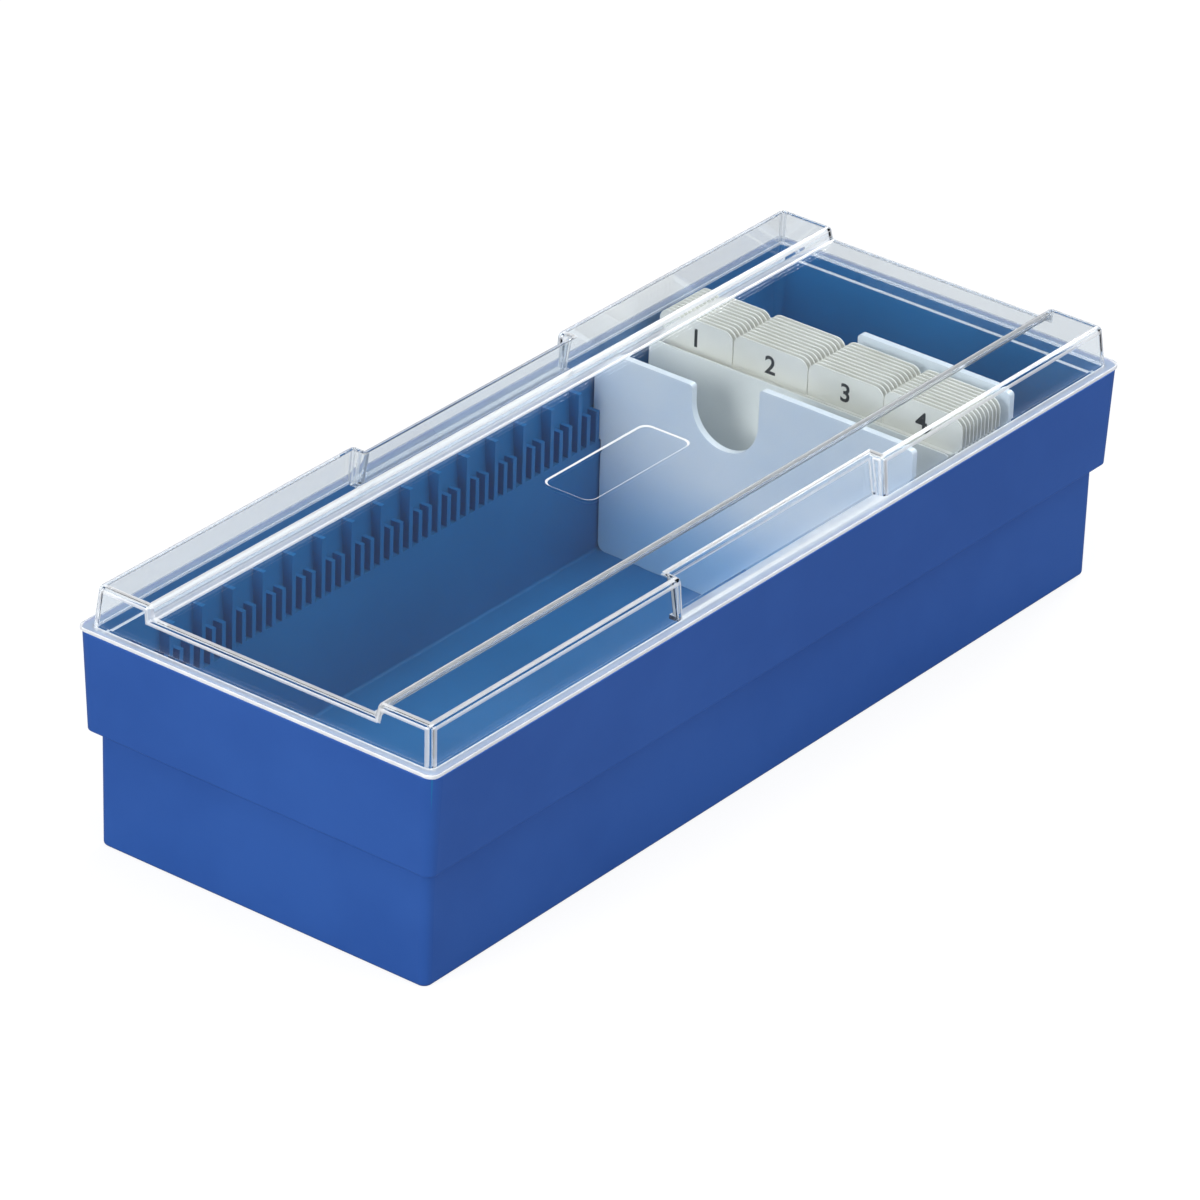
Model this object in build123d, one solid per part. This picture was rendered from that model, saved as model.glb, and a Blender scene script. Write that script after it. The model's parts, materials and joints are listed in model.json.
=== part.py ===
from build123d import *
from math import ceil, floor, radians, tan
import os

# Long card file box: a ribbed tray, a clear lift-off lid, two slotted dividers,
# a plain sheet and a pack of tabbed index guides. Millimetres and degrees.
# X is the width, Y the length, Z up. The origin is the middle of the base.

# Tray outside
rim_width = 112.0
rim_length = 283.4
rim_height = 61.0
ledge_height = 33.0
ledge_step = 2.5
band_draft = 2.7
foot_draft = 0.5
rim_corner_radius = 2.6
foot_corner_radius = 2.4
foot_edge_radius = 1.0
ledge_edge_radius = 0.4
rim_edge_radius = 0.25

# Tray inside
tray_wall = 2.0
tray_floor = 2.0
ledge_thickness = 1.5
floor_edge_radius = 0.8
foot_inner_corner_radius = 1.4
band_inner_corner_radius = 1.6

# Ribs on the long walls, in a repeat of one tall and two short
rib_pitch = 3.845
rib_thickness = 1.4
rib_datum = 3.2
rib_end_margin = 8.0
tall_rib_height = 17.0
short_rib_height = 9.0
tall_rib_every = 3
rib_root = 0.5
rib_sink = 0.75

# Lid
lid_height = 73.2
lid_wall = 1.5
flange_thickness = 1.15
flange_inset = 2.6
lid_draft = 5.2
lid_corner_radius = 2.1
lid_edge_radius = 1.65
lid_inner_corner_radius = 0.6
lid_inner_edge_radius = 0.5
flange_edge_radius = 0.3
skirt_depth = 3.0
lid_seat_gap = 0.05

# Channel between the two raised bands of the lid
channel_half_width = 36.6
channel_depth = 3.9
channel_top_radius = 2.0
channel_foot_radius = 1.6

# Finger recesses in the middle of the lid's long sides
recess_half_length = 41.0
recess_depth = 3.1
recess_draft = 9.3
recess_outer_radius = 1.75
recess_inner_radius = 0.9

# Shallow sunk label place on the lid's panel
label_width = 15.8
label_length = 42.3
label_depth = 0.25
label_corner_radius = 2.0

# Dividers
divider_thickness = 2.0
divider_floor_gap = 0.05
divider_side_gap = 0.5
divider_draft = 0.5
divider_foot_radius = 2.5
divider_ear_gap = 0.35
divider_ear_lift = 0.5
divider_ear_top = 56.0
divider_left_lid_gap = 0.5
divider_right_lid_gap = 2.7
divider_high_top = 67.0
divider_low_top = 60.9
divider_left_corner_radius = 3.0
divider_right_corner_radius = 1.2
notch_left = -20.5
notch_right = 1.0
notch_bottom = 45.4
notch_edge_radius = 1.2
front_divider_slot = 14
rear_divider_slot = 25

# Sheets
sheet_side_gap = 1.9
sheet_thickness = 0.30
sheet_floor_gap = 0.05
sheet_corner_radius = 1.5
blank_sheet_place = 75.3
blank_sheet_top = 58.7

# Index guides
guide_count = 44
guide_columns = 4
guide_pitch = 0.41
guide_pack_place = 79.5
guide_shoulder = 56.5
guide_top = 66.2
tab_corner_radius = 3.0

# Sizes that follow from the ones above
band_height = rim_height - ledge_height
band_run = band_height * tan(radians(band_draft))
inner_ledge_height = ledge_height + ledge_thickness
flange_bottom = rim_height + lid_seat_gap
flange_top = flange_bottom + flange_thickness
half_length_extra = (rim_length - rim_width) / 2


def band_half_width(height):
    """Half width of the upper band's outer face at a height."""
    return rim_width / 2 - (rim_height - height) * tan(radians(band_draft))


def foot_half_width(height):
    """Half width of the lower body's outer face at a height."""
    return (
        rim_width / 2
        - band_run
        - ledge_step
        - (ledge_height - height) * tan(radians(foot_draft))
    )


def sheet_half_width():
    """Half width of the sheets, which stand between the walls of the foot."""
    return foot_half_width(tray_floor) - tray_wall - sheet_side_gap


def lid_half_width(height):
    """Half width of the lid's outer wall at a height."""
    lean = max(0.0, height - flange_top) * tan(radians(lid_draft))
    return rim_width / 2 - flange_inset - lean


def drafted_block(bottom, top, half_width, draft, corner_radius):
    """Upright block that widens by the draft angle as it rises."""
    outline = RectangleRounded(
        2 * half_width,
        2 * (half_width + half_length_extra),
        corner_radius,
    )
    return extrude(Pos(0, 0, bottom) * outline, amount=top - bottom, taper=-draft)


def edges_at(shape, height):
    """Edges of a shape that lie level at one height."""
    return shape.edges().filter_by_position(Axis.Z, height - 0.01, height + 0.01)


def rib_places():
    """Number and place along the length of every rib on one wall."""
    reach = foot_half_width(ledge_height) + half_length_extra - rib_end_margin
    first = ceil((-reach - rib_datum) / rib_pitch)
    last = floor((reach - rib_datum) / rib_pitch)
    return [(number, rib_datum + number * rib_pitch) for number in range(first, last + 1)]


def make_ribs():
    """Ribs that stand on the inner ledge of both long walls."""
    face = foot_half_width(ledge_height) - tray_wall
    ribs = []
    for number, place in rib_places():
        is_tall = number % tall_rib_every == 0
        height = tall_rib_height if is_tall else short_rib_height
        root = band_half_width(inner_ledge_height + height) - tray_wall + rib_root
        for side in (-1, 1):
            middle = side * (face + root) / 2
            rib = Box(
                root - face,
                rib_thickness,
                height + rib_sink,
                align=(Align.CENTER, Align.CENTER, Align.MAX),
            )
            ribs.append(Pos(middle, place, inner_ledge_height + height) * rib)
    return ribs


def make_tray():
    """Open tray: a narrower foot, a wider upper band and ribbed long walls."""
    foot = drafted_block(0, ledge_height, foot_half_width(0), foot_draft, foot_corner_radius)
    foot = fillet(edges_at(foot, 0), foot_edge_radius)
    band = drafted_block(
        ledge_height, rim_height, band_half_width(ledge_height), band_draft, rim_corner_radius
    )
    band = fillet(edges_at(band, ledge_height), ledge_edge_radius)
    foot_hollow = drafted_block(
        tray_floor,
        inner_ledge_height,
        foot_half_width(tray_floor) - tray_wall,
        foot_draft,
        foot_inner_corner_radius,
    )
    foot_hollow = fillet(edges_at(foot_hollow, tray_floor), floor_edge_radius)
    band_hollow = drafted_block(
        inner_ledge_height,
        rim_height,
        band_half_width(inner_ledge_height) - tray_wall,
        band_draft,
        band_inner_corner_radius,
    )
    tray = foot + band - foot_hollow - band_hollow
    tray = fillet(edges_at(tray, rim_height), rim_edge_radius)
    return tray + make_ribs()


def recess_prism(depth, half_length, bottom, top):
    """Block that takes one finger recess out of the lid's right side."""
    reach = rim_width / 2
    lean = tan(radians(recess_draft))
    near = lid_half_width(flange_top) - depth
    section = Polyline(
        (reach, bottom),
        (near - (bottom - flange_top) * lean, bottom),
        (near - (top - flange_top) * lean, top),
        (reach, top),
        close=True,
    )
    return extrude(Plane.XZ * make_face(section), amount=half_length, both=True)


def upright_edges(shape, near_y, near_x):
    """Standing edges of a shape close to one place on each side, all four quarters alike."""
    return [
        edge
        for edge in shape.edges()
        if abs(edge.tangent_at(0.5).Z) > 0.9
        and abs(abs(edge.center().Y) - near_y) < lid_wall
        and abs(abs(edge.center().X) - near_x) < lid_wall
    ]


def channel_edges(form, height, inset):
    """Long edges of the lid's channel at one height."""
    return [
        edge
        for edge in edges_at(form, height)
        if abs(edge.tangent_at(0.5).Y) > 0.9
        and abs(abs(edge.center().X) - channel_half_width - inset) < lid_wall
    ]


def lid_form(inset, corner, recess_outer, recess_inner, crest_edge, channel_top, channel_foot):
    """Form of the lid above its flange, moved inwards by an inset, with its rounded edges."""
    top = lid_height - inset
    foot = lid_half_width(flange_top) - inset
    middle = (flange_top + top) / 2
    wall = lid_half_width(middle) - inset
    half_length = recess_half_length + inset
    depth = recess_depth + inset
    outline = Rectangle(2 * foot, 2 * (foot + half_length_extra))
    form = extrude(Pos(0, 0, flange_top) * outline, amount=top - flange_top, taper=lid_draft)
    recess = recess_prism(depth, half_length, flange_top, lid_height)
    form = form - recess - mirror(recess, about=Plane.YZ)
    bay = foot + inset - depth - (middle - flange_top) * tan(radians(recess_draft))
    form = fillet(upright_edges(form, wall + half_length_extra, wall), corner)
    form = fillet(upright_edges(form, half_length, wall), recess_outer)
    form = fillet(upright_edges(form, half_length, bay), recess_inner)
    channel = Box(
        2 * (channel_half_width + inset),
        2 * rim_length,
        2 * channel_depth,
    )
    form = form - Pos(0, 0, top) * channel
    form = fillet(channel_edges(form, top - channel_depth, inset), channel_foot)
    form = fillet(channel_edges(form, top, inset), channel_top)
    crest = [
        edge
        for edge in edges_at(form, top)
        if abs(edge.center().X) > channel_half_width + inset + 0.1
    ]
    panel_ends = [
        edge
        for edge in edges_at(form, top - channel_depth)
        if abs(edge.center().Y) > recess_half_length
    ]
    return fillet(crest + panel_ends, crest_edge)


def plate(bottom, top, half_width, corner_radius):
    """Flat rounded plate with the lid's proportions."""
    return drafted_block(bottom, top, half_width, 0, corner_radius)


def recess_shelf():
    """Piece of flange that closes the foot of the right finger recess."""
    near = lid_half_width(flange_top) - recess_depth - lid_wall
    return Pos(near, 0, flange_bottom) * Box(
        rim_width / 2 - near,
        2 * (recess_half_length + lid_wall),
        flange_thickness,
        align=(Align.MIN, Align.CENTER, Align.MIN),
    )


def make_lid():
    """Clear lid: flange, skirt, drafted walls, two raised bands and two finger recesses."""
    skirt_bottom = flange_bottom - skirt_depth
    skirt_half = lid_half_width(flange_top)
    outside = lid_form(
        0,
        lid_corner_radius,
        recess_outer_radius,
        recess_inner_radius,
        lid_edge_radius,
        channel_top_radius,
        channel_foot_radius,
    )
    hollow = lid_form(
        lid_wall,
        lid_inner_corner_radius,
        lid_inner_corner_radius,
        recess_inner_radius + lid_wall,
        lid_inner_edge_radius,
        lid_inner_edge_radius,
        channel_foot_radius + lid_wall,
    )
    label_place = Pos(0, 0, lid_height - channel_depth) * extrude(
        RectangleRounded(label_width, label_length, label_corner_radius), amount=-label_depth
    )
    flange = plate(flange_bottom, flange_top, rim_width / 2, rim_corner_radius)
    rims = edges_at(flange, flange_bottom) + edges_at(flange, flange_top)
    flange = fillet(rims, flange_edge_radius)
    skirt = plate(skirt_bottom, flange_bottom, skirt_half, lid_corner_radius)
    opening = plate(
        skirt_bottom, flange_top, skirt_half - lid_wall, lid_inner_corner_radius
    )
    opening = opening - recess_shelf() - mirror(recess_shelf(), about=Plane.YZ)
    return outside - label_place + flange + skirt - hollow - opening


def upright_panel(left, right, bottom, top):
    """Flat rectangle in the plane of a sheet, drawn with Z as its second axis."""
    return Pos((left + right) / 2, (bottom + top) / 2) * Rectangle(right - left, top - bottom)


def round_corners(panel, places, radius):
    """Round the named corners of a flat outline."""
    chosen = [
        corner
        for corner in panel.vertices()
        if any(abs(corner.X - x) < 0.01 and abs(corner.Y - y) < 0.01 for x, y in places)
    ]
    return fillet(chosen, radius)


def divider_outline():
    """Divider seen from the front: foot, ears for the slots, two tops and a thumb notch."""
    bottom = tray_floor + divider_floor_gap
    ear_bottom = inner_ledge_height + divider_ear_lift
    foot_half = foot_half_width(tray_floor) - tray_wall - divider_side_gap
    ear_half = band_half_width(inner_ledge_height) - tray_wall - divider_ear_gap
    lid_inside = lid_half_width(divider_high_top) - lid_wall
    head_left = -lid_inside + divider_left_lid_gap
    head_right = lid_inside - divider_right_lid_gap
    notch_radius = (notch_right - notch_left) / 2
    notch_middle = (notch_right + notch_left) / 2
    rise = (ear_bottom - bottom) * tan(radians(divider_draft))
    foot = make_face(
        Polyline(
            (-foot_half, bottom),
            (foot_half, bottom),
            (foot_half + rise, ear_bottom),
            (-foot_half - rise, ear_bottom),
            close=True,
        )
    )
    ears = upright_panel(-ear_half, ear_half, ear_bottom, divider_ear_top)
    low_head = upright_panel(head_left, notch_left, ear_bottom, divider_low_top)
    high_head = upright_panel(notch_right, head_right, ear_bottom, divider_high_top)
    notch = upright_panel(notch_left, notch_right, notch_bottom + notch_radius, lid_height)
    thumb = Pos(notch_middle, notch_bottom + notch_radius) * Circle(notch_radius)
    outline = foot + ears + low_head + high_head - notch - thumb
    outline = round_corners(
        outline, [(-foot_half, bottom), (foot_half, bottom)], divider_foot_radius
    )
    outline = round_corners(
        outline, [(head_left, divider_low_top)], divider_left_corner_radius
    )
    outline = round_corners(
        outline, [(head_right, divider_high_top)], divider_right_corner_radius
    )
    return round_corners(
        outline,
        [(notch_left, divider_low_top), (notch_right, divider_high_top)],
        notch_edge_radius,
    )


def sheet_solid(outline, thickness, place):
    """Stand a flat outline upright, its front face at a place along the length."""
    front_face = Plane(origin=(0, place, 0), x_dir=(1, 0, 0), z_dir=(0, -1, 0))
    return extrude(front_face * outline, amount=-thickness)


def make_divider(slot):
    """Divider in the middle of one slot between two ribs."""
    middle = rib_datum + (slot + 0.5) * rib_pitch
    return sheet_solid(divider_outline(), divider_thickness, middle - divider_thickness / 2)


def make_blank_sheet():
    """Plain sheet that stands in front of the index guides."""
    half = sheet_half_width()
    bottom = tray_floor + sheet_floor_gap
    outline = upright_panel(-half, half, bottom, blank_sheet_top)
    outline = round_corners(
        outline, [(-half, blank_sheet_top), (half, blank_sheet_top)], sheet_corner_radius
    )
    return sheet_solid(outline, sheet_thickness, blank_sheet_place)


def make_guide(index):
    """Index guide whose tab stands in the next column, counted round the columns."""
    half = sheet_half_width()
    bottom = tray_floor + sheet_floor_gap
    tab_width = 2 * half / guide_columns
    tab_left = -half + (index % guide_columns) * tab_width
    tab_right = tab_left + tab_width
    outline = upright_panel(-half, half, bottom, guide_shoulder)
    outline = outline + upright_panel(tab_left, tab_right, guide_shoulder, guide_top)
    outline = round_corners(
        outline, [(tab_left, guide_top), (tab_right, guide_top)], tab_corner_radius
    )
    return sheet_solid(outline, sheet_thickness, guide_pack_place + index * guide_pitch)


def make_parts():
    """Every piece of the box by its name."""
    parts = {
        "tray": make_tray(),
        "lid": make_lid(),
        "front_divider": make_divider(front_divider_slot),
        "rear_divider": make_divider(rear_divider_slot),
        "blank_sheet": make_blank_sheet(),
    }
    for index in range(guide_count):
        parts[f"index_guide_{index + 1:02d}"] = make_guide(index)
    return parts


os.makedirs("parts", exist_ok=True)
for name, part in make_parts().items():
    export_step(part, f"parts/{name}.step")
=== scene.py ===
"""Looks of a long card file box: blue tray, clear lift-off lid, milky dividers and numbered index guides."""

import json
import logging
import math
from collections.abc import Callable
from dataclasses import dataclass, field
from enum import Enum, IntEnum

import bpy
from mathutils import Matrix, Vector

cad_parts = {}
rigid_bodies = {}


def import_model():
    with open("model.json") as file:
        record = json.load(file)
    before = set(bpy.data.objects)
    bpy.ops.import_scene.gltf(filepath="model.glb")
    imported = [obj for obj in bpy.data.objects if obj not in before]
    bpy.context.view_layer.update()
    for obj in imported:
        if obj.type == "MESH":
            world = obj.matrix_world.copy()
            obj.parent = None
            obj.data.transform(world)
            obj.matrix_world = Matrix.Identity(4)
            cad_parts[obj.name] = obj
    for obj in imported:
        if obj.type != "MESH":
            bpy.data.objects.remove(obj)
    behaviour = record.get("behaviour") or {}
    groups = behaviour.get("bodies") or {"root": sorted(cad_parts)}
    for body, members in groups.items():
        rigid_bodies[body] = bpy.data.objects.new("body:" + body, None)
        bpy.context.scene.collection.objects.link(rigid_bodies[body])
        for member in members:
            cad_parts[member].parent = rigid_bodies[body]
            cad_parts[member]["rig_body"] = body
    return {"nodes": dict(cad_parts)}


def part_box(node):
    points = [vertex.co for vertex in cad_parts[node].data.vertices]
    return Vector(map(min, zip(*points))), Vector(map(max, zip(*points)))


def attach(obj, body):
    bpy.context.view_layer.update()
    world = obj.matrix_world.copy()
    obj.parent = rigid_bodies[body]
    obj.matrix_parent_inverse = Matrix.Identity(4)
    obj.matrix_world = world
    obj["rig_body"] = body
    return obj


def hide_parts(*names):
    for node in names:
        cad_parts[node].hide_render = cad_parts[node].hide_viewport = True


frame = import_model()

LOG = logging.getLogger("card_box")
MM = 0.001

# Noise values between which the darker tone turns into the paler one
PATCH_EDGES = (0.35, 0.65)
# Smallest part along Z of the direction of an upright edge and of the normal of a level face
UPRIGHT = 0.9
LEVEL = 0.95
# Largest part along Z of the direction of a level edge
LEVEL_EDGE = 0.1
# Smallest second part of the normal of a facet in the middle of a rounding
BETWEEN = 0.5
# How near to a height a point has to be to belong to a face there, in millimetres
SAME_HEIGHT_MM = 0.01


def linear(colour: str) -> tuple[float, float, float, float]:
    """Turn an sRGB hex colour into linear light.

    Args:
        colour: Six hex digits after a hash sign.

    Returns:
        Red, green, blue and an alpha of one.
    """
    parts = [int(colour[start:start + 2], 16) / 255 for start in (1, 3, 5)]
    light = [part / 12.92 if part <= 0.04045 else ((part + 0.055) / 1.055) ** 2.4 for part in parts]
    return (light[0], light[1], light[2], 1.0)


def per_metre(size_mm: float) -> float:
    """Texture scale at which one cell of a pattern is this many millimetres wide."""
    return 1 / (size_mm * MM)


def add_node(
    tree: bpy.types.NodeTree,
    kind: str,
    values: dict | None = None,
    links: dict | None = None,
    **settings: object,
) -> bpy.types.Node:
    """Add a node with its settings, its values and its links.

    Args:
        tree: The node tree that takes the node.
        kind: Blender's name of the node type.
        values: Socket name or number to a plain value.
        links: Socket name or number to the output that feeds it.
        settings: Attributes of the node itself.

    Returns:
        The new node.
    """
    node = tree.nodes.new(kind)
    for name, value in settings.items():
        setattr(node, name, value)
    for socket, value in (values or {}).items():
        node.inputs[socket].default_value = value
    for socket, source in (links or {}).items():
        tree.links.new(source, node.inputs[socket])
    return node


def new_material(name: str) -> tuple[bpy.types.Material, bpy.types.NodeTree]:
    """Make an empty node material.

    Args:
        name: The material's name.

    Returns:
        The material and its cleared node tree.
    """
    material = bpy.data.materials.new(name)
    material.use_nodes = True
    material.node_tree.nodes.clear()
    return material, material.node_tree


def mottled(
    tree: bpy.types.NodeTree,
    place: bpy.types.NodeSocket,
    cell_mm: float,
    low: tuple[float, float, float, float],
    high: tuple[float, float, float, float],
) -> bpy.types.NodeSocket:
    """Blend two close colours by a soft noise.

    Args:
        tree: The material's node tree.
        place: Object coordinates.
        cell_mm: Size of one patch.
        low: Colour of the darker patches.
        high: Colour of the paler patches.

    Returns:
        The colour output.
    """
    noise = add_node(
        tree,
        "ShaderNodeTexNoise",
        {"Scale": per_metre(cell_mm), "Detail": 4.0, "Roughness": 0.55},
        {"Vector": place},
    )
    ramp = add_node(tree, "ShaderNodeValToRGB", links={"Fac": noise.outputs["Fac"]})
    for element, position, colour in zip(ramp.color_ramp.elements, PATCH_EDGES, (low, high)):
        element.position = position
        element.color = colour
    return ramp.outputs["Color"]


def blend_colours(
    tree: bpy.types.NodeTree,
    share: bpy.types.NodeSocket,
    first: bpy.types.NodeSocket | tuple[float, float, float, float],
    second: bpy.types.NodeSocket | tuple[float, float, float, float],
) -> bpy.types.NodeSocket:
    """Blend two colours.

    Args:
        tree: The material's node tree.
        share: Share of the second colour.
        first: The first colour, plain or from an output.
        second: The second colour, plain or from an output.

    Returns:
        The blended colour.
    """
    ends = {6: first, 7: second}
    plain = {socket: end for socket, end in ends.items() if isinstance(end, tuple)}
    fed = {socket: end for socket, end in ends.items() if socket not in plain}
    mix = add_node(tree, "ShaderNodeMix", plain, {0: share, **fed}, data_type="RGBA")
    return mix.outputs[2]


def seen_directly(tree: bpy.types.NodeTree) -> bpy.types.NodeSocket:
    """One for rays from the camera, straight or through clear walls, and zero for the rest.

    Args:
        tree: The node tree that takes the nodes.

    Returns:
        The factor's output.
    """
    path = add_node(tree, "ShaderNodeLightPath")
    unreflected = add_node(
        tree, "ShaderNodeMath", {1: 0.5}, {0: path.outputs["Glossy Depth"]}, operation="LESS_THAN"
    )
    through = add_node(
        tree,
        "ShaderNodeMath",
        links={0: path.outputs["Is Transmission Ray"], 1: unreflected.outputs[0]},
        operation="MULTIPLY",
    )
    seen = add_node(
        tree,
        "ShaderNodeMath",
        links={0: path.outputs["Is Camera Ray"], 1: through.outputs[0]},
        operation="MAXIMUM",
    )
    return seen.outputs[0]


@dataclass(frozen=True)
class OpaquePolystyrene:
    """High-impact polystyrene, injection moulded in a finely eroded steel mould.

    The pigment is strong and even. The eroded mould leaves a very fine grain that breaks up reflections,
    and the melt leaves broad, faint changes of tone. The inner faces take a greener blue as painted light,
    for how the light under the lid colours them; it is matched to how they look through the lid and isn't
    known of the plastic itself.
    """

    name: str = "tray_polystyrene"
    dark: str = "#2b56a1"
    pale: str = "#305ca8"
    # Painted light: greener blues for the inner faces, for how the light under the lid colours them
    dark_inside: str = "#1a6ca4"
    pale_inside: str = "#1f73ac"
    foot_middle_mm: float = 51.15
    ledge_middle_mm: float = 33.75
    half_wall_mm: float = 1.0
    band_draft_degrees: float = 2.7
    roughness: float = 0.36
    roughness_spread: float = 0.04
    ior: float = 1.59
    gloss: float = 0.22
    patch_mm: float = 40.0
    grain_mm: float = 0.45
    grain_depth_mm: float = 0.012
    grain_strength: float = 0.35

    def make(self) -> bpy.types.Material:
        """Build the material.

        Returns:
            The material.
        """
        material, tree = new_material(self.name)
        place = add_node(tree, "ShaderNodeTexCoord").outputs["Object"]
        outside = mottled(tree, place, self.patch_mm, linear(self.dark), linear(self.pale))
        inside = mottled(
            tree, place, self.patch_mm, linear(self.dark_inside), linear(self.pale_inside)
        )
        # Painted light: the inner faces take the greener tint
        colour = blend_colours(tree, self.is_inside(tree, place), outside, inside)
        grain = add_node(
            tree,
            "ShaderNodeTexNoise",
            {"Scale": per_metre(self.grain_mm), "Detail": 2.0, "Roughness": 0.6},
            {"Vector": place},
        )
        bump = add_node(
            tree,
            "ShaderNodeBump",
            {"Strength": self.grain_strength, "Distance": self.grain_depth_mm * MM},
            {"Height": grain.outputs["Fac"]},
        )
        gloss = add_node(
            tree,
            "ShaderNodeMapRange",
            {
                "To Min": self.roughness - self.roughness_spread,
                "To Max": self.roughness + self.roughness_spread,
            },
            {"Value": grain.outputs["Fac"]},
        )
        shader = add_node(
            tree,
            "ShaderNodeBsdfPrincipled",
            {"IOR": self.ior, "Specular IOR Level": self.gloss},
            {"Base Color": colour, "Roughness": gloss.outputs["Result"], "Normal": bump.outputs["Normal"]},
        )
        add_node(tree, "ShaderNodeOutputMaterial", links={"Surface": shader.outputs["BSDF"]})
        return material

    def is_inside(
        self, tree: bpy.types.NodeTree, place: bpy.types.NodeSocket
    ) -> bpy.types.NodeSocket:
        """Tell the tray's inner faces, which take the painted light tint, from its outer ones, by the middle
        of its wall.

        Args:
            tree: The material's node tree.
            place: Object coordinates.

        Returns:
            One on the inner faces and zero on the outer ones.
        """
        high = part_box("tray")[1]
        extra_length = high.y - high.x
        across = add_node(
            tree, "ShaderNodeVectorMath", links={0: place}, operation="ABSOLUTE"
        ).outputs["Vector"]
        parts = add_node(tree, "ShaderNodeSeparateXYZ", links={"Vector": across}).outputs
        half_wall = self.half_wall_mm * MM
        slope = math.tan(math.radians(self.band_draft_degrees))
        band = add_node(
            tree,
            "ShaderNodeMath",
            {1: slope, 2: high.x - half_wall - high.z * slope},
            {0: parts["Z"]},
            operation="MULTIPLY_ADD",
        ).outputs[0]
        is_band = add_node(
            tree,
            "ShaderNodeMath",
            {1: self.ledge_middle_mm * MM},
            {0: parts["Z"]},
            operation="GREATER_THAN",
        ).outputs[0]
        limit = add_node(
            tree, "ShaderNodeMix", {"A": self.foot_middle_mm * MM}, {"Factor": is_band, "B": band}
        ).outputs["Result"]
        shorter = add_node(
            tree, "ShaderNodeMath", {1: extra_length}, {0: parts["Y"]}, operation="SUBTRACT"
        ).outputs[0]
        farther = add_node(
            tree, "ShaderNodeMath", links={0: parts["X"], 1: shorter}, operation="MAXIMUM"
        ).outputs[0]
        within = add_node(
            tree, "ShaderNodeMath", links={0: farther, 1: limit}, operation="LESS_THAN"
        ).outputs[0]
        raised = add_node(
            tree,
            "ShaderNodeMath",
            {1: half_wall},
            {0: parts["Z"]},
            operation="GREATER_THAN",
        ).outputs[0]
        both = add_node(
            tree, "ShaderNodeMath", links={0: within, 1: raised}, operation="MULTIPLY"
        )
        return both.outputs[0]


@dataclass(frozen=True)
class ClearPolystyrene:
    """General-purpose polystyrene, injection moulded in a polished mould.

    It is as clear as glass and bends light more. The polished mould leaves it smooth, apart from a slow
    waviness where the melt flowed. Light that runs inside the wall comes out at rounded edges and at the
    flange, and a painted white share stands in for that light: painted light and painted highlights.
    Rays from the lamps pass straight through, as through a thin clear wall.
    """

    name: str = "lid_clear_polystyrene"
    tint: str = "#f9fcfe"
    # Painted light: a white share that stands in for light coming out of edges and flange
    milk: str = "#f6f5f4"
    milk_share: float = 0.0
    milk_spread: float = 0.15
    milk_patch_mm: float = 5.0
    milk_roughness: float = 0.3
    ior: float = 1.59
    wave_mm: float = 22.0
    wave_depth_mm: float = 0.02
    wave_strength: float = 0.5

    def make(self) -> bpy.types.Material:
        """Build the material.

        Returns:
            The material.
        """
        material, tree = new_material(self.name)
        place = add_node(tree, "ShaderNodeTexCoord").outputs["Object"]
        wave = add_node(
            tree,
            "ShaderNodeTexNoise",
            {"Scale": per_metre(self.wave_mm), "Detail": 1.0},
            {"Vector": place},
        )
        bump = add_node(
            tree,
            "ShaderNodeBump",
            {"Strength": self.wave_strength, "Distance": self.wave_depth_mm * MM},
            {"Height": wave.outputs["Fac"]},
        )
        glass = add_node(
            tree,
            "ShaderNodeBsdfPrincipled",
            {
                "Base Color": linear(self.tint),
                "Roughness": 0.0,
                "IOR": self.ior,
                "Transmission Weight": 1.0,
            },
            {"Normal": bump.outputs["Normal"]},
        )
        body = glass.outputs["BSDF"]
        if self.milk_share > 0:
            body = self.add_milk(tree, place, body)
        open_way = add_node(tree, "ShaderNodeBsdfTransparent", {"Color": linear(self.tint)})
        path = add_node(tree, "ShaderNodeLightPath")
        either = add_node(
            tree,
            "ShaderNodeMath",
            links={0: path.outputs["Is Shadow Ray"], 1: path.outputs["Is Diffuse Ray"]},
            operation="MAXIMUM",
        )
        mixed = add_node(
            tree,
            "ShaderNodeMixShader",
            links={0: either.outputs[0], 1: body, 2: open_way.outputs["BSDF"]},
        )
        add_node(tree, "ShaderNodeOutputMaterial", links={"Surface": mixed.outputs["Shader"]})
        return material

    def add_milk(
        self, tree: bpy.types.NodeTree, place: bpy.types.NodeSocket, body: bpy.types.NodeSocket
    ) -> bpy.types.NodeSocket:
        """Mix a painted white share into the clear plastic, as painted light at its edges, a little uneven
        along the edge.

        Args:
            tree: The material's node tree.
            place: Object coordinates.
            body: The clear plastic's shader.

        Returns:
            The mixed shader.
        """
        patches = add_node(
            tree,
            "ShaderNodeTexNoise",
            {"Scale": per_metre(self.milk_patch_mm), "Detail": 2.0},
            {"Vector": place},
        )
        share = add_node(
            tree,
            "ShaderNodeMapRange",
            {
                "To Min": self.milk_share * (1 - self.milk_spread),
                "To Max": self.milk_share * (1 + self.milk_spread),
            },
            {"Value": patches.outputs["Fac"]},
        )
        milk = add_node(
            tree,
            "ShaderNodeBsdfPrincipled",
            {"Base Color": linear(self.milk), "Roughness": self.milk_roughness, "IOR": self.ior},
        )
        mixed = add_node(
            tree,
            "ShaderNodeMixShader",
            links={0: share.outputs["Result"], 1: body, 2: milk.outputs["BSDF"]},
        )
        return mixed.outputs["Shader"]


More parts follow.
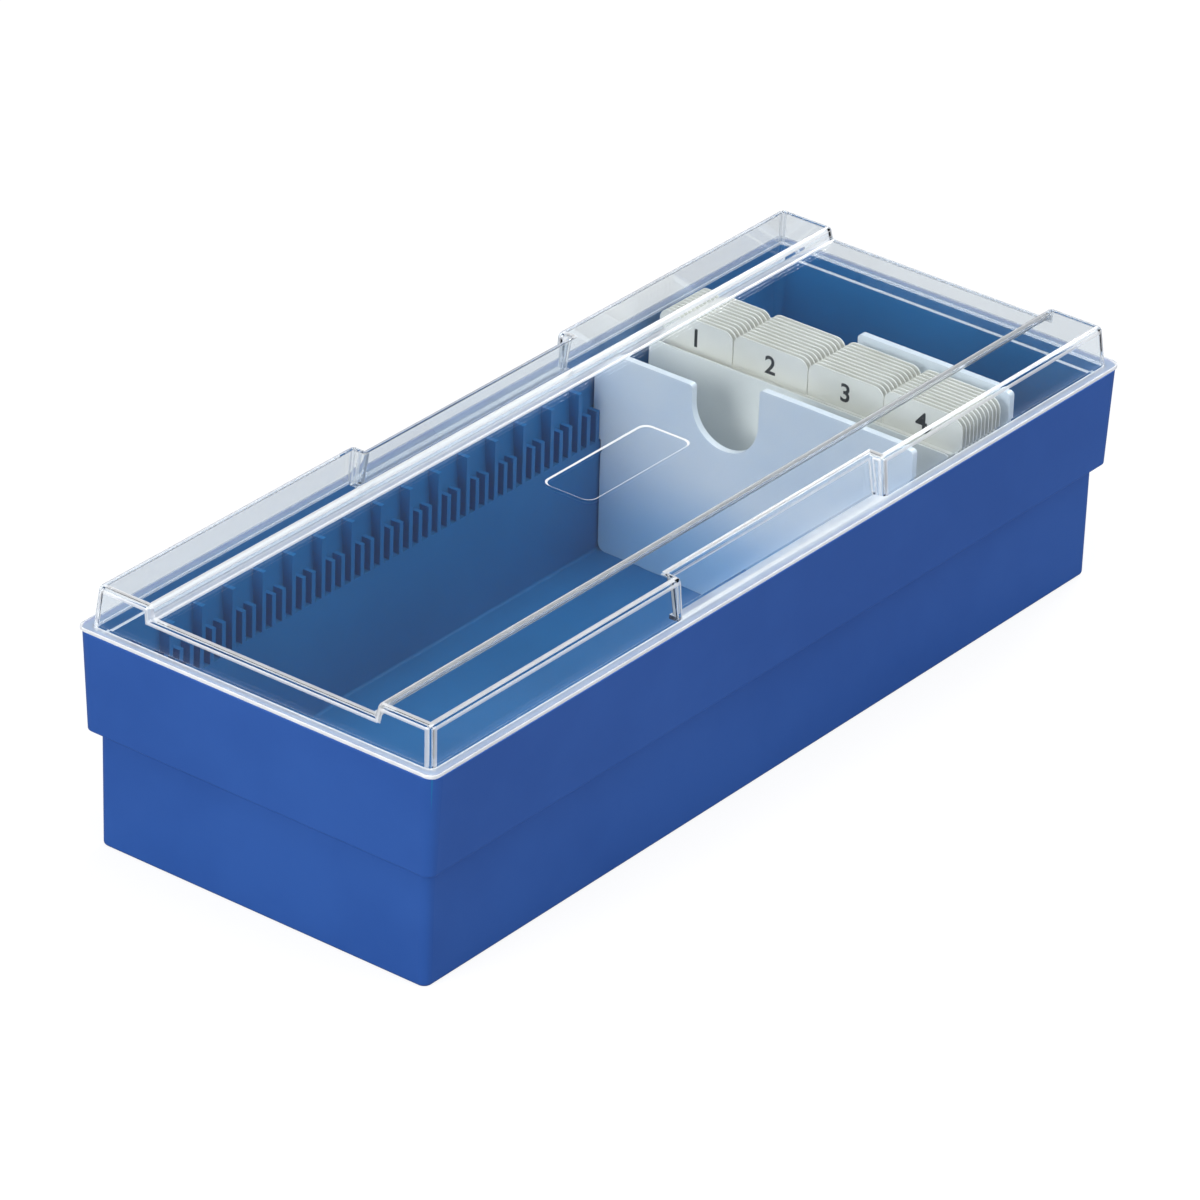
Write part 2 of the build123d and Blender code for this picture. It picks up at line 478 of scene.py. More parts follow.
@dataclass(frozen=True)
class MilkyPolystyrene:
    """Polystyrene with a little white pigment, moulded smooth.

    Light goes a short way into it, so its edges glow softly and its shade is never hard. Low down it
    looks bluer between the tray's walls, in their shade and in blue light bounced off the tray, and a
    painted shade tint by height stands in for part of that.
    """

    name: str = "divider_milky_polystyrene"
    dark: str = "#e8f0f7"
    pale: str = "#f2f7fb"
    # Painted shade: a blue tint towards the foot, for shade and blue light bounced off the tray
    shade: str = "#a3cdec"
    shade_low_mm: float = 8.0
    shade_high_mm: float = 36.0
    roughness: float = 0.32
    ior: float = 1.59
    patch_mm: float = 18.0
    depth_mm: float = 1.2
    depth_share: float = 0.35

    def make(self) -> bpy.types.Material:
        """Build the material.

        Returns:
            The material.
        """
        material, tree = new_material(self.name)
        place = add_node(tree, "ShaderNodeTexCoord").outputs["Object"]
        white = mottled(tree, place, self.patch_mm, linear(self.dark), linear(self.pale))
        height = add_node(tree, "ShaderNodeSeparateXYZ", links={"Vector": place}).outputs["Z"]
        # Painted shade: the blue tint fades out upwards
        painted_shade_fade = add_node(
            tree,
            "ShaderNodeMapRange",
            {"From Min": self.shade_low_mm * MM, "From Max": self.shade_high_mm * MM},
            {"Value": height},
            interpolation_type="SMOOTHSTEP",
        )
        colour = blend_colours(tree, painted_shade_fade.outputs["Result"], linear(self.shade), white)
        shader = add_node(
            tree,
            "ShaderNodeBsdfPrincipled",
            {
                "Roughness": self.roughness,
                "IOR": self.ior,
                "Subsurface Weight": self.depth_share,
                "Subsurface Radius": (1.0, 1.0, 1.0),
                "Subsurface Scale": self.depth_mm * MM,
            },
            {"Base Color": colour},
        )
        add_node(tree, "ShaderNodeOutputMaterial", links={"Surface": shader.outputs["BSDF"]})
        return material


@dataclass(frozen=True)
class MattFilm:
    """Stiff polypropylene film, calendered and die cut.

    The rollers leave a fine matt grain, and each sheet takes a slightly different tone, which shows where
    the sheets lie one behind another.
    """

    name: str
    dark: str
    pale: str
    roughness: float = 0.55
    ior: float = 1.49
    patch_mm: float = 14.0
    grain_mm: float = 0.35
    grain_depth_mm: float = 0.01
    grain_strength: float = 0.3

    def make(self) -> bpy.types.Material:
        """Build the material.

        Returns:
            The material.
        """
        material, tree = new_material(self.name)
        place = add_node(tree, "ShaderNodeTexCoord").outputs["Object"]
        colour = mottled(tree, place, self.patch_mm, linear(self.dark), linear(self.pale))
        grain = add_node(
            tree,
            "ShaderNodeTexNoise",
            {"Scale": per_metre(self.grain_mm), "Detail": 2.0},
            {"Vector": place},
        )
        bump = add_node(
            tree,
            "ShaderNodeBump",
            {"Strength": self.grain_strength, "Distance": self.grain_depth_mm * MM},
            {"Height": grain.outputs["Fac"]},
        )
        shader = add_node(
            tree,
            "ShaderNodeBsdfPrincipled",
            {"Roughness": self.roughness, "IOR": self.ior},
            {"Base Color": colour, "Normal": bump.outputs["Normal"]},
        )
        add_node(tree, "ShaderNodeOutputMaterial", links={"Surface": shader.outputs["BSDF"]})
        return material


@dataclass(frozen=True)
class PrintedInk:
    """Black screen-printing ink: it lies thin and matt, with slightly uneven cover."""

    name: str = "number_ink"
    dark: str = "#16171a"
    pale: str = "#26282c"
    roughness: float = 0.6
    patch_mm: float = 0.6

    def make(self) -> bpy.types.Material:
        """Build the material.

        Returns:
            The material.
        """
        material, tree = new_material(self.name)
        place = add_node(tree, "ShaderNodeTexCoord").outputs["Object"]
        colour = mottled(tree, place, self.patch_mm, linear(self.dark), linear(self.pale))
        shader = add_node(
            tree, "ShaderNodeBsdfPrincipled", {"Roughness": self.roughness}, {"Base Color": colour}
        )
        add_node(tree, "ShaderNodeOutputMaterial", links={"Surface": shader.outputs["BSDF"]})
        return material


@dataclass(frozen=True)
class PaleFloor:
    """Pale seamless studio paper: it shows as near white and keeps a soft shadow.

    Reflections, and the light that it gives the box, see darker tones, which are matched.
    """

    name: str = "studio_floor"
    paper: str = "#f4f4f4"
    paper_in_room: str = "#9ba1ab"
    paper_in_gloss: str = "#7b7e85"
    glow: float = 1.06
    glow_share: float = 0.8

    def make(self) -> bpy.types.Material:
        """Build the material.

        Returns:
            The material.
        """
        material, tree = new_material(self.name)
        seen = seen_directly(tree)
        path = add_node(tree, "ShaderNodeLightPath").outputs
        unseen = blend_colours(
            tree, path["Is Glossy Ray"], linear(self.paper_in_room), linear(self.paper_in_gloss)
        )
        colour = blend_colours(tree, seen, unseen, linear(self.paper))
        paper = add_node(tree, "ShaderNodeBsdfDiffuse", links={"Color": colour})
        white = add_node(tree, "ShaderNodeEmission", {"Strength": self.glow})
        share = add_node(
            tree, "ShaderNodeMath", {1: self.glow_share}, {0: seen}, operation="MULTIPLY"
        )
        mixed = add_node(
            tree,
            "ShaderNodeMixShader",
            links={0: share.outputs[0], 1: paper.outputs["BSDF"], 2: white.outputs["Emission"]},
        )
        add_node(tree, "ShaderNodeOutputMaterial", links={"Surface": mixed.outputs["Shader"]})
        return material


class Join(Enum):
    """Ways to bring two closed solids together."""

    ADD = "UNION"
    CUT = "DIFFERENCE"


class LidSlot(IntEnum):
    """The lid's material slots: clear, and three that mix in painted white for painted highlights and
    painted light.
    """

    CLEAR = 0
    LIT = 1
    FROSTED = 2
    BRIGHT = 3


def dress_node(name: str, material: bpy.types.Material) -> None:
    """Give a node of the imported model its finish.

    Args:
        name: The node's name.
        material: The finish.
    """
    node = frame["nodes"][name]
    node.data.materials.clear()
    node.data.materials.append(material)
    LOG.info("%s wears %s", name, material.name)


@dataclass
class Tray:
    """Ribbed tray, moulded in one piece."""

    finish: OpaquePolystyrene = field(default_factory=OpaquePolystyrene)

    def build(self) -> None:
        """Dress the tray."""
        dress_node("tray", self.finish.make())


def add_block(
    name: str,
    low: tuple[float, float, float],
    high: tuple[float, float, float],
    finishes: list[bpy.types.Material],
) -> bpy.types.Object:
    """Add a block between two corners, with its place in its mesh.

    Args:
        name: The piece's name.
        low: Lowest corner in millimetres.
        high: Highest corner in millimetres.
        finishes: Material slots that the piece gets; its faces take the first one.

    Returns:
        The block.
    """
    bpy.ops.object.select_all(action="DESELECT")
    middle = [(a + b) / 2 * MM for a, b in zip(low, high)]
    size = [(b - a) * MM for a, b in zip(low, high)]
    bpy.ops.mesh.primitive_cube_add(size=1, location=middle, scale=size)
    bpy.ops.object.transform_apply(location=True, rotation=True, scale=True)
    block = bpy.context.object
    block.name = name
    for finish in finishes:
        block.data.materials.append(finish)
    return block


def apply_modifier(piece: bpy.types.Object, kind: str, **settings: object) -> None:
    """Add a modifier to a piece and apply it.

    Args:
        piece: The piece to change.
        kind: Blender's name of the modifier type.
        settings: Attributes of the modifier.
    """
    bpy.ops.object.select_all(action="DESELECT")
    bpy.context.view_layer.objects.active = piece
    piece.select_set(True)
    modifier = piece.modifiers.new(kind.lower(), kind)
    for name, value in settings.items():
        setattr(modifier, name, value)
    bpy.ops.object.modifier_apply(modifier=modifier.name)


def join_solids(piece: bpy.types.Object, tool: bpy.types.Object, way: Join) -> None:
    """Add a tool to a piece or cut it away, and delete the tool.

    Args:
        piece: The piece that stays.
        tool: The closed solid that is used up.
        way: Whether it is added or cut away.
    """
    apply_modifier(piece, "BOOLEAN", operation=way.value, object=tool, solver="EXACT")
    bpy.data.objects.remove(tool, do_unlink=True)


def round_edges(
    piece: bpy.types.Object,
    radius_of: Callable[[Vector, Vector], float],
    segments: int,
    slot: int = -1,
) -> None:
    """Round edges, each with a radius of its own.

    Args:
        piece: The piece to change.
        radius_of: Gives an edge's radius in millimetres from its middle in millimetres and its
            direction; nought leaves the edge sharp.
        segments: Facets across each rounding.
        slot: Material slot of the rounded faces, or -1 to keep the neighbours' slot.
    """
    mesh = piece.data
    radii = []
    for edge in mesh.edges:
        first, second = (mesh.vertices[index].co for index in edge.vertices)
        radii.append(radius_of((first + second) / 2 / MM, (second - first).normalized()))
    widest = max(radii)
    weights = mesh.attributes.new("bevel_weight_edge", "FLOAT", "EDGE")
    for index, radius in enumerate(radii):
        weights.data[index].value = radius / widest
    apply_modifier(
        piece,
        "BEVEL",
        limit_method="WEIGHT",
        offset_type="OFFSET",
        width=widest * MM,
        segments=segments,
        material=slot,
        use_clamp_overlap=False,
    )
    left = piece.data.attributes.get("bevel_weight_edge")
    if left:
        piece.data.attributes.remove(left)


def is_upright(direction: Vector) -> bool:
    """Tell whether an edge stands up, draft included."""
    return abs(direction.z) > UPRIGHT


def is_between_faces(normal: Vector) -> bool:
    """Tell whether a facet is in the middle of a rounding and not at its borders."""
    return sorted(abs(part) for part in normal)[1] > BETWEEN


def select_points(piece: bpy.types.Object, test: Callable[[Vector], bool]) -> None:
    """Select a piece's points by their place, and nothing else.

    Args:
        piece: The piece, in object mode.
        test: Tells for a place in millimetres whether the point there is selected.
    """
    bpy.ops.object.mode_set(mode="EDIT")
    bpy.ops.mesh.select_mode(type="VERT")
    bpy.ops.mesh.select_all(action="DESELECT")
    bpy.ops.object.mode_set(mode="OBJECT")
    for vertex in piece.data.vertices:
        vertex.select = test(vertex.co / MM)


def draw_in(piece: bpy.types.Object, height: float, by_width: float, by_length: float) -> None:
    """Scale a piece's face at one height about the middle.

    Args:
        piece: The piece to change.
        height: Height of the face in millimetres.
        by_width: Scale along X.
        by_length: Scale along Y.
    """
    select_points(piece, lambda place: abs(place.z - height) < SAME_HEIGHT_MM)
    bpy.ops.object.mode_set(mode="EDIT")
    bpy.ops.transform.resize(value=(by_width, by_length, 1), center_override=(0, 0, height * MM))
    bpy.ops.object.mode_set(mode="OBJECT")


@dataclass(frozen=True)
class Rounding:
    """Radii of one side of the lid's wall, in millimetres."""

    corner: float
    crest: float
    channel_top: float
    channel_foot: float
    recess_outer: float
    recess_inner: float


@dataclass
class Lid:
    """Clear lid: a drafted shell with two raised bands and two finger recesses, on a flange and a skirt."""

    wall_mm: float = 1.5
    flange_mm: float = 1.15
    flange_reach_mm: float = 2.6
    flange_corner_mm: float = 2.6
    flange_edge_mm: float = 0.3
    skirt_mm: float = 3.0
    draft_degrees: float = 5.2
    outer: Rounding = Rounding(2.1, 1.65, 1.1, 1.0, 1.75, 0.9)
    inner: Rounding = Rounding(0.6, 0.5, 0.4, 2.2, 0.6, 2.0)
    channel_half_mm: float = 35.5
    channel_depth_mm: float = 3.3
    channel_lean_mm: float = 0.6
    recess_half_mm: float = 41.0
    recess_depth_mm: float = 3.1
    recess_draft_degrees: float = 9.3
    label_half_width_mm: float = 7.9
    label_half_length_mm: float = 21.15
    label_depth_mm: float = 0.25
    label_corner_mm: float = 2.0
    label_slope_mm: float = 0.45
    lap_mm: float = 0.05
    root_mm: float = 0.6
    over_mm: float = 1.0
    segments: int = 6
    edge_segments: int = 3
    smooth_degrees: float = 32.0
    clear: ClearPolystyrene = field(default_factory=ClearPolystyrene)
    # Painted highlights and painted light: white shares for the lid's edges and flange
    lit: ClearPolystyrene = field(
        default_factory=lambda: ClearPolystyrene("lid_painted_highlight_edge", milk_share=0.5)
    )
    frosted: ClearPolystyrene = field(
        default_factory=lambda: ClearPolystyrene("lid_painted_light_flange", milk_share=0.36)
    )
    bright: ClearPolystyrene = field(
        default_factory=lambda: ClearPolystyrene("lid_painted_bright_highlight_edge", milk_share=0.9)
    )

    def build(self) -> None:
        """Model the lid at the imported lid's place and let it stand for that node."""
        low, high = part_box("lid")
        self.half_width = high.x / MM
        self.half_length = high.y / MM
        self.top = high.z / MM
        self.skirt_bottom = low.z / MM
        self.flange_bottom = self.skirt_bottom + self.skirt_mm
        self.flange_top = self.flange_bottom + self.flange_mm
        kinds = (self.clear, self.lit, self.frosted, self.bright)
        self.finishes = [kind.make() for kind in kinds]
        piece = self.shell()
        join_solids(piece, self.rim(), Join.ADD)
        piece.name = "clear_lid"
        bpy.ops.object.shade_smooth_by_angle(angle=math.radians(self.smooth_degrees))
        apply_modifier(piece, "WEIGHTED_NORMAL", keep_sharp=True, weight=100)
        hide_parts("lid")
        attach(piece, frame["nodes"]["lid"]["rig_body"])
        LOG.info("%s has %d faces", piece.name, len(piece.data.polygons))

    def wall_half_width(self, height: float) -> float:
        """Half width of the drafted wall's outer face at a height, in millimetres."""
        lean = (height - self.flange_top) * math.tan(math.radians(self.draft_degrees))
        return self.half_width - self.flange_reach_mm - lean

    def wall_half_length(self, height: float) -> float:
        """Half length of the drafted wall's outer face at a height, in millimetres."""
        return self.half_length - self.half_width + self.wall_half_width(height)

    def bay_half_width(self, height: float) -> float:
        """Distance of a recess's back face from the middle at a height, in millimetres."""
        lean = (height - self.flange_top) * math.tan(math.radians(self.recess_draft_degrees))
        return self.half_width - self.flange_reach_mm - self.recess_depth_mm - lean

    def shell(self) -> bpy.types.Object:
        """Model the drafted shell with its bands, recesses and label place.

        Returns:
            A shell that is open below.
        """
        foot = self.flange_top - self.root_mm
        shell = self.form("clear_lid", foot, 0.0, self.outer)
        hollow = self.form("hollow", foot - self.over_mm, self.wall_mm, self.inner)
        join_solids(shell, hollow, Join.CUT)
        join_solids(shell, self.label(self.top - self.channel_depth_mm), Join.CUT)
        return shell

    def form(self, name: str, foot: float, inset: float, rounding: Rounding) -> bpy.types.Object:
        """Model one side of the wall as a closed solid.

        Args:
            name: The solid's name.
            foot: Height of its foot in millimetres.
            inset: How far its faces stand in from the lid's outer faces.
            rounding: Its radii.

        Returns:
            The solid, with painted highlights on the borders of its roundings.
        """
        top = self.top - inset
        width = self.wall_half_width(foot) - inset
        length = self.wall_half_length(foot) - inset
        solid = add_block(name, (-width, -length, foot), (width, length, top), self.finishes)
        by_width = (self.wall_half_width(top) - inset) / width
        by_length = (self.wall_half_length(top) - inset) / length
        draw_in(solid, top, by_width, by_length)
        for side in (-1, 1):
            join_solids(solid, self.recess(side, foot, inset), Join.CUT)
        join_solids(solid, self.channel(top, inset), Join.CUT)
        self.round_form(solid, foot, top, inset, rounding)
        return solid

    def channel(self, top: float, inset: float) -> bpy.types.Object:
        """Model the solid that cuts the channel between the bands out of a form.

        Args:
            top: Height of the form's bands in millimetres.
            inset: How far the form's faces stand in from the lid's outer faces.

        Returns:
            A block whose long sides lean outwards.
        """
        slope = self.channel_lean_mm / self.channel_depth_mm
        shift = inset * (math.hypot(1, slope) - slope)
        half = self.channel_half_mm - self.channel_lean_mm + shift
        low = (-half, -self.half_length, top - self.channel_depth_mm)
        high = (half, self.half_length, top + self.over_mm)
        block = add_block("channel", low, high, self.finishes)
        spread = (self.channel_depth_mm + self.over_mm) * slope
        draw_in(block, high[2], 1 + spread / half, 1.0)
        return block

    def recess(self, side: int, foot: float, inset: float) -> bpy.types.Object:
        """Model the solid that cuts one finger recess out of a form.

        Args:
            side: -1 for the left recess and 1 for the right one.
            foot: Height of the form's foot in millimetres.
            inset: How far the form's faces stand in from the lid's outer faces.

        Returns:
            The solid.
        """
        bottom = foot - self.over_mm
        top = self.top + self.over_mm
        half = self.recess_half_mm + inset
        near = self.bay_half_width(bottom) - inset
        low_x, high_x = sorted((side * near, side * (self.half_width + self.over_mm)))
        block = add_block("recess", (low_x, -half, bottom), (high_x, half, top), self.finishes)
        middle = (bottom + top) / 2
        select_points(block, lambda place: place.z > middle and abs(place.x) < near + self.lap_mm)
        bpy.ops.object.mode_set(mode="EDIT")
        lean = self.bay_half_width(top) - self.bay_half_width(bottom)
        bpy.ops.transform.translate(value=(side * lean * MM, 0, 0))
        bpy.ops.object.mode_set(mode="OBJECT")
        return block

    def round_form(
        self, solid: bpy.types.Object, foot: float, top: float, inset: float, rounding: Rounding
    ) -> None:
        """Round a form's edges, each by its own radius, and paint highlights on the borders of the
        roundings.

        The inner roundings beside the channel take the painted highlight all over.

        Args:
            solid: The form with sharp edges.
            foot: Height of its foot in millimetres.
            top: Height of its bands in millimetres.
            inset: How far its faces stand in from the lid's outer faces.
            rounding: Its radii.
        """
        near = self.wall_mm / 2

        def radius_of(middle: Vector, direction: Vector) -> float:
            """Choose the radius of an edge.

            Args:
                middle: The edge's middle in millimetres.
                direction: The edge's direction.

            Returns:
                The radius in millimetres.
            """
            at_channel = abs(middle.x) < self.channel_half_mm + inset + near
            if is_upright(direction):
                if abs(abs(middle.y) - self.recess_half_mm - inset) < near:
                    wall = self.wall_half_width(middle.z) - inset
                    is_outer = abs(middle.x) > wall - near
                    return rounding.recess_outer if is_outer else rounding.recess_inner
                return rounding.crest if at_channel else rounding.corner
            if middle.z < foot + near:
                return 0.0
            if at_channel and abs(direction.y) > UPRIGHT:
                is_foot = middle.z < top - self.channel_depth_mm / 2
                return rounding.channel_foot if is_foot else rounding.channel_top
            return rounding.crest

        # Painted highlights: rounded faces take the white share, then facets in the middle of each rounding
        # go back to clear
        round_edges(solid, radius_of, self.segments, slot=LidSlot.LIT)
        for face in solid.data.polygons:
            beside = abs(abs(face.center.x) / MM - self.channel_half_mm) < self.channel_depth_mm
            is_inner_and_beside = inset > 0 and beside
            if is_between_faces(face.normal) and not is_inner_and_beside:
                face.material_index = LidSlot.CLEAR

    def label(self, panel: float) -> bpy.types.Object:
        """Model the solid that sinks the label place into the panel.

        Args:
            panel: Height of the panel in millimetres.

        Returns:
            A rounded block that widens upwards.
        """
        bottom = panel - self.label_depth_mm
        top = panel + self.label_depth_mm
        width = self.label_half_width_mm - self.label_slope_mm
        length = self.label_half_length_mm - self.label_slope_mm
        block = add_block("label_place", (-width, -length, bottom), (width, length, top), self.finishes)
        # Painted highlight: the label place's sloping sides take the bright white share
        for face in block.data.polygons:
            is_side = abs(face.normal.z) < BETWEEN
            face.material_index = LidSlot.BRIGHT if is_side else LidSlot.CLEAR
        spread = 2 * self.label_slope_mm
        draw_in(block, top, 1 + spread / width, 1 + spread / length)

        def corner_radius(middle: Vector, direction: Vector) -> float:
            """Radius of the edge with this middle and direction: only the leaning ones are round."""
            return self.label_corner_mm if abs(direction.z) > LEVEL_EDGE else 0.0

        round_edges(block, corner_radius, self.segments)
        return block

    def plate(
        self, name: str, bottom: float, top: float, inset: float, corner: float
    ) -> bpy.types.Object:
        """Model a flat plate with rounded corners.

        Args:
            name: The plate's name.
            bottom: Height of its lower face in millimetres.
            top: Height of its upper face in millimetres.
            inset: How far it stands in from the flange's outer edge.
            corner: Radius of its corners.

        Returns:
            The plate.
        """
        width = self.half_width - inset
        length = self.half_length - inset
        block = add_block(name, (-width, -length, bottom), (width, length, top), self.finishes)
        round_edges(
            block, lambda middle, direction: corner if is_upright(direction) else 0.0, self.segments
        )
        return block

    def rim(self) -> bpy.types.Object:
        """Model the flange with its skirt and the shelves that close the recesses' feet.

        Returns:
            A closed frame.
        """
        flange = self.plate(
            "flange", self.flange_bottom, self.flange_top, 0.0, self.flange_corner_mm
        )
        round_edges(
            flange,
            lambda middle, direction: 0.0 if is_upright(direction) else self.flange_edge_mm,
            self.edge_segments,
        )
        # Painted light: the flange's top takes a white share, and its rounded outer side the bright painted
        # highlight
        for face in flange.data.polygons:
            if face.normal.z > LEVEL:
                face.material_index = LidSlot.FROSTED
            elif face.normal.z < -LEVEL:
                face.material_index = LidSlot.CLEAR
            else:
                face.material_index = LidSlot.BRIGHT
        reach = self.flange_reach_mm
        root = self.flange_bottom + self.root_mm
        skirt = self.plate("skirt", self.skirt_bottom, root, reach, self.outer.corner)

        def foot_radius(middle: Vector, direction: Vector) -> float:
            """Radius of the skirt's edge with this middle and direction."""
            is_foot = middle.z < self.flange_bottom and not is_upright(direction)
            return self.flange_edge_mm if is_foot else 0.0

        # Painted highlight: the skirt's rounded foot and its underside take the bright white share
        round_edges(skirt, foot_radius, self.edge_segments, slot=LidSlot.BRIGHT)
        for face in skirt.data.polygons:
            if face.normal.z < -LEVEL:
                face.material_index = LidSlot.BRIGHT
        join_solids(flange, skirt, Join.ADD)
        inset = reach + self.wall_mm + self.lap_mm
        below = self.skirt_bottom - self.over_mm
        above = self.flange_top + self.over_mm
        opening = self.plate("opening", below, above, inset, self.inner.corner)
        near = self.bay_half_width(self.flange_top) - self.wall_mm - self.lap_mm
        half = self.recess_half_mm + self.wall_mm + self.lap_mm
        for side in (-1, 1):
            low_x, high_x = sorted((side * near, side * self.half_width))
            low = (low_x, -half, self.flange_bottom)
            high = (high_x, half, above + self.over_mm)
            join_solids(opening, add_block("shelf", low, high, self.finishes), Join.CUT)
        join_solids(flange, opening, Join.CUT)
        return flange


@dataclass
class Dividers:
    """The two slotted dividers."""

    finish: MilkyPolystyrene = field(default_factory=MilkyPolystyrene)

    def build(self) -> None:
        """Dress both dividers in one finish."""
        material = self.finish.make()
        for name in ("front_divider", "rear_divider"):
            dress_node(name, material)


@dataclass
class IndexPack:
    """Blank sheet and tabbed index guides, with a printed number on each tab."""

    guide_count: int = 44
    columns: int = 4
    digit_height_mm: float = 5.2
    text_size_per_digit: float = 1.4
    digit_middle_mm: float = 60.8
    digit_swell_mm: float = 0.13
    print_thickness_mm: float = 0.02
    guide_finish: MattFilm = field(
        default_factory=lambda: MattFilm("guide_film", dark="#f0eee4", pale="#f8f6ee")
    )
    blank_finish: MattFilm = field(
        default_factory=lambda: MattFilm("blank_film", dark="#f4f4ec", pale="#fbfbf4")
    )
    ink: PrintedInk = field(default_factory=PrintedInk)

    def build(self) -> None:
        """Dress the sheets and print their numbers."""
        dress_node("blank_sheet", self.blank_finish.make())
        film = self.guide_finish.make()
        ink = self.ink.make()
        for number in range(1, self.guide_count + 1):
            name = f"index_guide_{number:02d}"
            dress_node(name, film)
            self.print_number(number, name, ink)

    def print_number(self, number: int, guide: str, ink: bpy.types.Material) -> None:
        """Print a number in the middle of a guide's tab.

        Args:
            number: The number to print.
            guide: The guide's node name.
            ink: The finish of the print.
        """
        low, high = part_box(guide)
        tab_width = (high.x - low.x) / self.columns
        column = (number - 1) % self.columns
        across = low.x + (column + 0.5) * tab_width
        front = low.y - self.print_thickness_mm * MM / 2
        middle = Vector((across, front, self.digit_middle_mm * MM))
        bpy.ops.object.select_all(action="DESELECT")
        bpy.ops.object.text_add()
        piece = bpy.context.object
        piece.name = f"number_{number:02d}"
        piece.data.body = str(number)
        piece.data.align_x = "CENTER"
        piece.data.align_y = "CENTER"
        piece.data.size = self.digit_height_mm * MM * self.text_size_per_digit
        piece.data.extrude = self.print_thickness_mm * MM / 2
        piece.data.offset = self.digit_swell_mm * MM
        piece.data.resolution_u = 6
        bpy.ops.object.convert(target="MESH")
        piece = bpy.context.object
        piece.data.transform(Matrix.Rotation(math.radians(90), 4, "X"))
        piece.data.transform(Matrix.Translation(middle))
        piece.data.materials.clear()
        piece.data.materials.append(ink)
        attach(piece, frame["nodes"][guide]["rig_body"])
        LOG.info("%s printed on %s", piece.name, guide)


@dataclass(frozen=True)
class SoftBox:
    """Rectangular lamp behind white cloth. Sizes and places are in metres and its power in watts."""

    name: str
    place: tuple[float, float, float]
    target: tuple[float, float, float]
    width: float
    height: float
    power: float

    def hang(self) -> None:
        """Hang the lamp and turn it to its target."""
        data = bpy.data.lights.new(self.name, "AREA")
        data.shape = "RECTANGLE"
        data.size = self.width
        data.size_y = self.height
        data.energy = self.power
        lamp = bpy.data.objects.new(self.name, data)
        bpy.context.scene.collection.objects.link(lamp)
        lamp.location = self.place
        aim = Vector(self.target) - Vector(self.place)
        lamp.rotation_euler = aim.to_track_quat("-Z", "Y").to_euler()


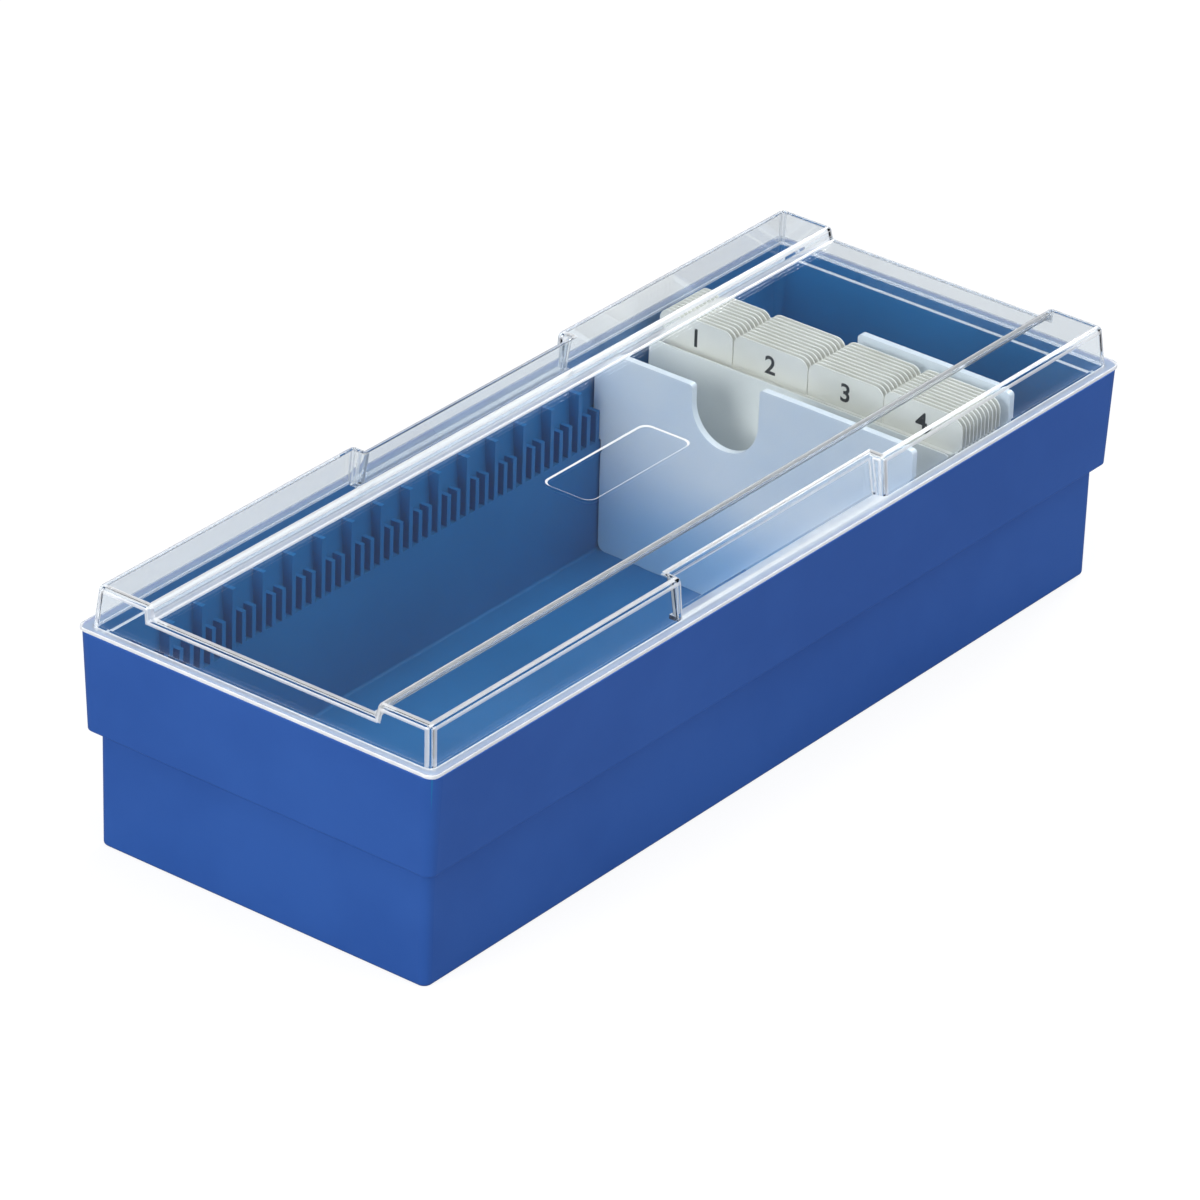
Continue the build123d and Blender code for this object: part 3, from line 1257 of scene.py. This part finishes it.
@dataclass
class Studio:
    """Pale floor, soft lamps and the camera at the photograph's viewing angle."""

    floor_half_m: float = 4.0
    room: str = "#dfe6f0"
    dusk_height: float = 0.45
    ceiling_height: float = 0.8
    dusk_strength: float = 0.12
    ceiling_strength: float = 0.7
    camera_azimuth: float = 37.22
    camera_elevation: float = 29.05
    camera_roll: float = 1.95
    camera_distance_m: float = 1.9866
    target_right_mm: float = -3.47
    target_up_mm: float = -6.12
    target_height_mm: float = 37.3
    lens_mm: float = 235.5
    sensor_mm: float = 36.0
    clip_near_m: float = 0.05
    clip_far_m: float = 50.0
    paper: PaleFloor = field(default_factory=PaleFloor)
    lamps: tuple[SoftBox, ...] = (
        SoftBox("overhead_box", (0.15, -0.1, 1.5), (0.0, 0.0, 0.0), 1.4, 1.1, 8.0),
        SoftBox("front_box", (-0.25, -1.5, 0.68), (0.0, 0.0, 0.05), 0.9, 0.9, 18.0),
        SoftBox("right_box", (1.55, 0.15, 0.85), (0.0, 0.0, 0.05), 1.6, 1.1, 16.0),
        SoftBox("back_fill_box", (-0.35, 1.75, 1.4), (0.0, 0.0, 0.05), 0.6, 0.5, 14.0),
    )

    def build(self) -> None:
        """Set up the floor, the world, the lamps and the camera."""
        self.lay_floor()
        self.light_world()
        for lamp in self.lamps:
            lamp.hang()
            LOG.info("%s hangs at %s", lamp.name, lamp.place)
        self.place_camera()

    def lay_floor(self) -> None:
        """Lay a flat sheet of pale paper under the box."""
        bpy.ops.object.select_all(action="DESELECT")
        bpy.ops.mesh.primitive_plane_add(size=2 * self.floor_half_m)
        floor = bpy.context.object
        floor.name = "floor"
        floor.data.materials.append(self.paper.make())

    def light_world(self) -> None:
        """White to the eye and straight through glass; a dim room with a pale ceiling to all else."""
        world = bpy.data.worlds.new("studio_world")
        bpy.context.scene.world = world
        world.use_nodes = True
        tree = world.node_tree
        tree.nodes.clear()
        way = add_node(tree, "ShaderNodeTexCoord").outputs["Generated"]
        height = add_node(tree, "ShaderNodeSeparateXYZ", links={"Vector": way}).outputs["Z"]
        ceiling = add_node(
            tree,
            "ShaderNodeMapRange",
            {
                "From Min": self.dusk_height,
                "From Max": self.ceiling_height,
                "To Min": self.dusk_strength,
                "To Max": self.ceiling_strength,
            },
            {"Value": height},
        )
        room = add_node(
            tree,
            "ShaderNodeBackground",
            {"Color": linear(self.room)},
            {"Strength": ceiling.outputs["Result"]},
        )
        white = add_node(tree, "ShaderNodeBackground", {"Color": (1, 1, 1, 1), "Strength": 1.0})
        mixed = add_node(
            tree,
            "ShaderNodeMixShader",
            links={
                0: seen_directly(tree),
                1: room.outputs["Background"],
                2: white.outputs["Background"],
            },
        )
        add_node(tree, "ShaderNodeOutputWorld", links={"Surface": mixed.outputs["Shader"]})

    def place_camera(self) -> None:
        """Put the camera where the photograph was taken from."""
        azimuth = math.radians(self.camera_azimuth)
        elevation = math.radians(self.camera_elevation)
        roll = math.radians(self.camera_roll)
        right = Vector((math.cos(azimuth), math.sin(azimuth), 0))
        back = Vector(
            (
                math.sin(azimuth) * math.cos(elevation),
                -math.cos(azimuth) * math.cos(elevation),
                math.sin(elevation),
            )
        )
        up = back.cross(right)
        rolled_right = math.cos(roll) * right + math.sin(roll) * up
        rolled_up = math.cos(roll) * up - math.sin(roll) * right
        place = (
            Vector((0, 0, self.target_height_mm * MM))
            + rolled_right * self.target_right_mm * MM
            + rolled_up * self.target_up_mm * MM
            + back * self.camera_distance_m
        )
        data = bpy.data.cameras.new("camera")
        data.lens = self.lens_mm
        data.sensor_width = self.sensor_mm
        data.clip_start = self.clip_near_m
        data.clip_end = self.clip_far_m
        camera = bpy.data.objects.new("camera", data)
        bpy.context.scene.collection.objects.link(camera)
        turn = Matrix((rolled_right, rolled_up, back)).transposed().to_4x4()
        camera.matrix_world = Matrix.Translation(place) @ turn
        bpy.context.scene.camera = camera


def main() -> None:
    """Build the sub-assemblies in order."""
    logging.basicConfig(level=logging.INFO, format="%(name)s: %(message)s")
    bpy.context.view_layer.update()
    for assembly in (Tray(), Lid(), Dividers(), IndexPack(), Studio()):
        assembly.build()
        LOG.info("%s is built", type(assembly).__name__)
    bpy.context.scene.view_settings.view_transform = "Standard"


if __name__ == "__main__":
    main()
